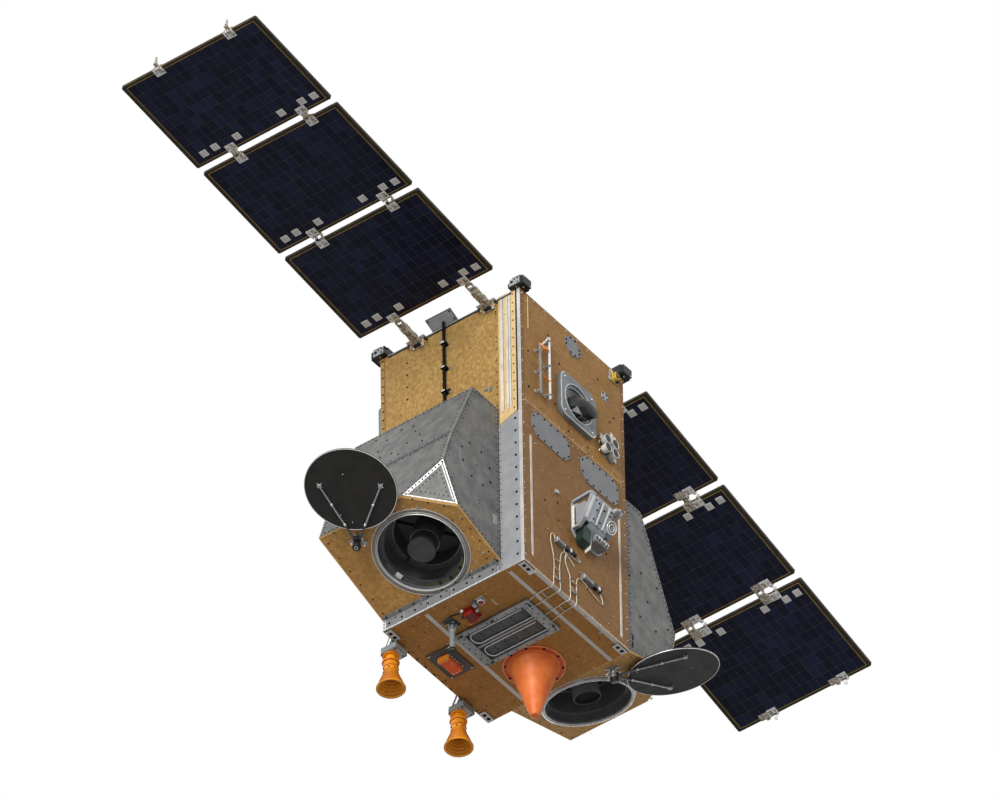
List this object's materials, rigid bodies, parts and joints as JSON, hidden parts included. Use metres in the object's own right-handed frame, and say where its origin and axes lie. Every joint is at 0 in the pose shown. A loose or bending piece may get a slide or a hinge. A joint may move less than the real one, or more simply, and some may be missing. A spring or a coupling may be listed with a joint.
{
  "type": "earth-mapping satellite",
  "caption": "Box-shaped mapping satellite with tilted telescope housings, swing-away aperture covers, folding solar wings, a conical antenna and horn antennas.",
  "frame": {"origin": "centre of the launch ring's mating face on the zenith side; the satellite hangs below it", "axes": "+Z to the zenith, out of the launch ring; +X to the forward camera and wing; +Y to the main equipment wall"},
  "size_m": [7.1166, 1.744, 3.4323],
  "materials": {
    "machined_aluminium": "satin, clear anodised",
    "gold_foil": "blanket foil, golden brown, slightly crumpled",
    "grey_sheet": "matt grey sheet with rivet rows",
    "bright_ring": "bright turned metal",
    "black_paint": "matt black paint",
    "cover_black": "matt black sheet with a white rim",
    "wrapped_foil": "crumpled silver foil",
    "solar_cells": "dark blue cells under glass with fine gold grid lines",
    "copper_paint": "satin copper orange",
    "amber_paint": "satin amber",
    "grey_paint": "satin grey",
    "red_paint": "satin red",
    "white_paint": "satin white",
    "blue_grey_paint": "satin blue grey"
  },
  "bodies": {
    "bus": {"access_plates": "grey_sheet", "aft_camera_barrel": "black_paint", "aft_camera_front": "gold_foil", "aft_camera_housing": "grey_sheet", "aft_camera_hub": "black_paint", "aft_camera_ring": "bright_ring", "aft_cover_bracket": "machined_aluminium", "aft_wall": "gold_foil", "aft_wing_arms": "wrapped_foil", "beacon_unit": "red_paint", "cone_antenna": "copper_paint", "corner_brackets": "machined_aluminium", "corner_posts": "machined_aluminium", "earth_mast": "grey_paint", "earth_panel": "gold_foil", "fore_camera_barrel": "black_paint", "fore_camera_front": "gold_foil", "fore_camera_housing": "grey_sheet", "fore_camera_hub": "black_paint", "fore_camera_ring": "bright_ring", "fore_cover_bracket": "machined_aluminium", "fore_sill": "grey_sheet", "fore_wall": "gold_foil", "fore_wing_arms": "wrapped_foil", "horn_antennas": "amber_paint", "horn_mounts": "grey_paint", "launch_ring": "machined_aluminium", "left_lower_wall": "gold_foil", "left_upper_wall": "gold_foil", "radiator_plate": "grey_sheet", "right_lower_wall": "gold_foil", "right_upper_wall": "gold_foil", "rod_antenna": "black_paint", "sensor_plate": "black_paint", "sensor_rods": "white_paint", "sensor_unit": "red_paint", "side_instrument": "blue_grey_paint", "star_baffles": "black_paint", "star_bezels": "bright_ring", "sun_sensor": "white_paint", "thruster_cluster": "grey_paint", "top_tray": "grey_sheet", "wall_connectors": "grey_paint", "zenith_panel": "gold_foil"},
    "aft_cover": {"aft_cover_disc": "cover_black", "aft_cover_struts": "machined_aluminium"},
    "aft_inner_wing": {"aft_inner_hinges": "machined_aluminium", "aft_inner_panel": "solar_cells"},
    "aft_mid_wing": {"aft_mid_hinges": "machined_aluminium", "aft_mid_panel": "solar_cells"},
    "aft_outer_wing": {"aft_outer_hinges": "machined_aluminium", "aft_outer_panel": "solar_cells"},
    "fore_cover": {"fore_cover_disc": "cover_black", "fore_cover_struts": "machined_aluminium"},
    "fore_inner_wing": {"fore_inner_hinges": "machined_aluminium", "fore_inner_panel": "solar_cells"},
    "fore_mid_wing": {"fore_mid_hinges": "machined_aluminium", "fore_mid_panel": "solar_cells"},
    "fore_outer_wing": {"fore_outer_hinges": "machined_aluminium", "fore_outer_panel": "solar_cells"}
  },
  "joints": [
    {"name": "fore_wing_fold", "type": "hinge", "parent": "bus", "child": "fore_inner_wing", "pos_m": [0.82679, 0, -0.10411], "axis": [0, 1, 0], "range_deg": [0, 98]},
    {"name": "fore_mid_fold", "type": "hinge", "parent": "fore_inner_wing", "child": "fore_mid_wing", "pos_m": [1.73336, 0, 0.04855], "axis": [0, 1, 0], "range_deg": [-180, 0]},
    {"name": "fore_outer_fold", "type": "hinge", "parent": "fore_mid_wing", "child": "fore_outer_wing", "pos_m": [2.65038, 0, 0.12694], "axis": [0, 1, 0], "range_deg": [0, 180]},
    {"name": "aft_wing_fold", "type": "hinge", "parent": "bus", "child": "aft_inner_wing", "pos_m": [-0.86747, 0, 0.02349], "axis": [0, -1, 0], "range_deg": [0, 75.3]},
    {"name": "aft_mid_fold", "type": "hinge", "parent": "aft_inner_wing", "child": "aft_mid_wing", "pos_m": [-1.76273, 0, -0.18554], "axis": [0, -1, 0], "range_deg": [-180, 0]},
    {"name": "aft_outer_fold", "type": "hinge", "parent": "aft_mid_wing", "child": "aft_outer_wing", "pos_m": [-2.63896, 0, -0.4671], "axis": [0, -1, 0], "range_deg": [0, 180]},
    {"name": "fore_cover_swing", "type": "hinge", "parent": "bus", "child": "fore_cover", "pos_m": [1.18721, -0.35856, -2.34581], "axis": [-0.3292, 0, 0.9443], "range_deg": [0, 102.6]},
    {"name": "aft_cover_swing", "type": "hinge", "parent": "bus", "child": "aft_cover", "pos_m": [-0.70326, 0.37985, -2.60955], "axis": [0.2871, 0, 0.9579], "range_deg": [0, 98.8]}
  ],
  "couplings": [
    {"joint": "fore_mid_fold", "follows": "fore_wing_fold", "ratio": -1.8367},
    {"joint": "fore_outer_fold", "follows": "fore_wing_fold", "ratio": 1.8367},
    {"joint": "aft_mid_fold", "follows": "aft_wing_fold", "ratio": -2.3904},
    {"joint": "aft_outer_fold", "follows": "aft_wing_fold", "ratio": 2.3904}
  ]
}
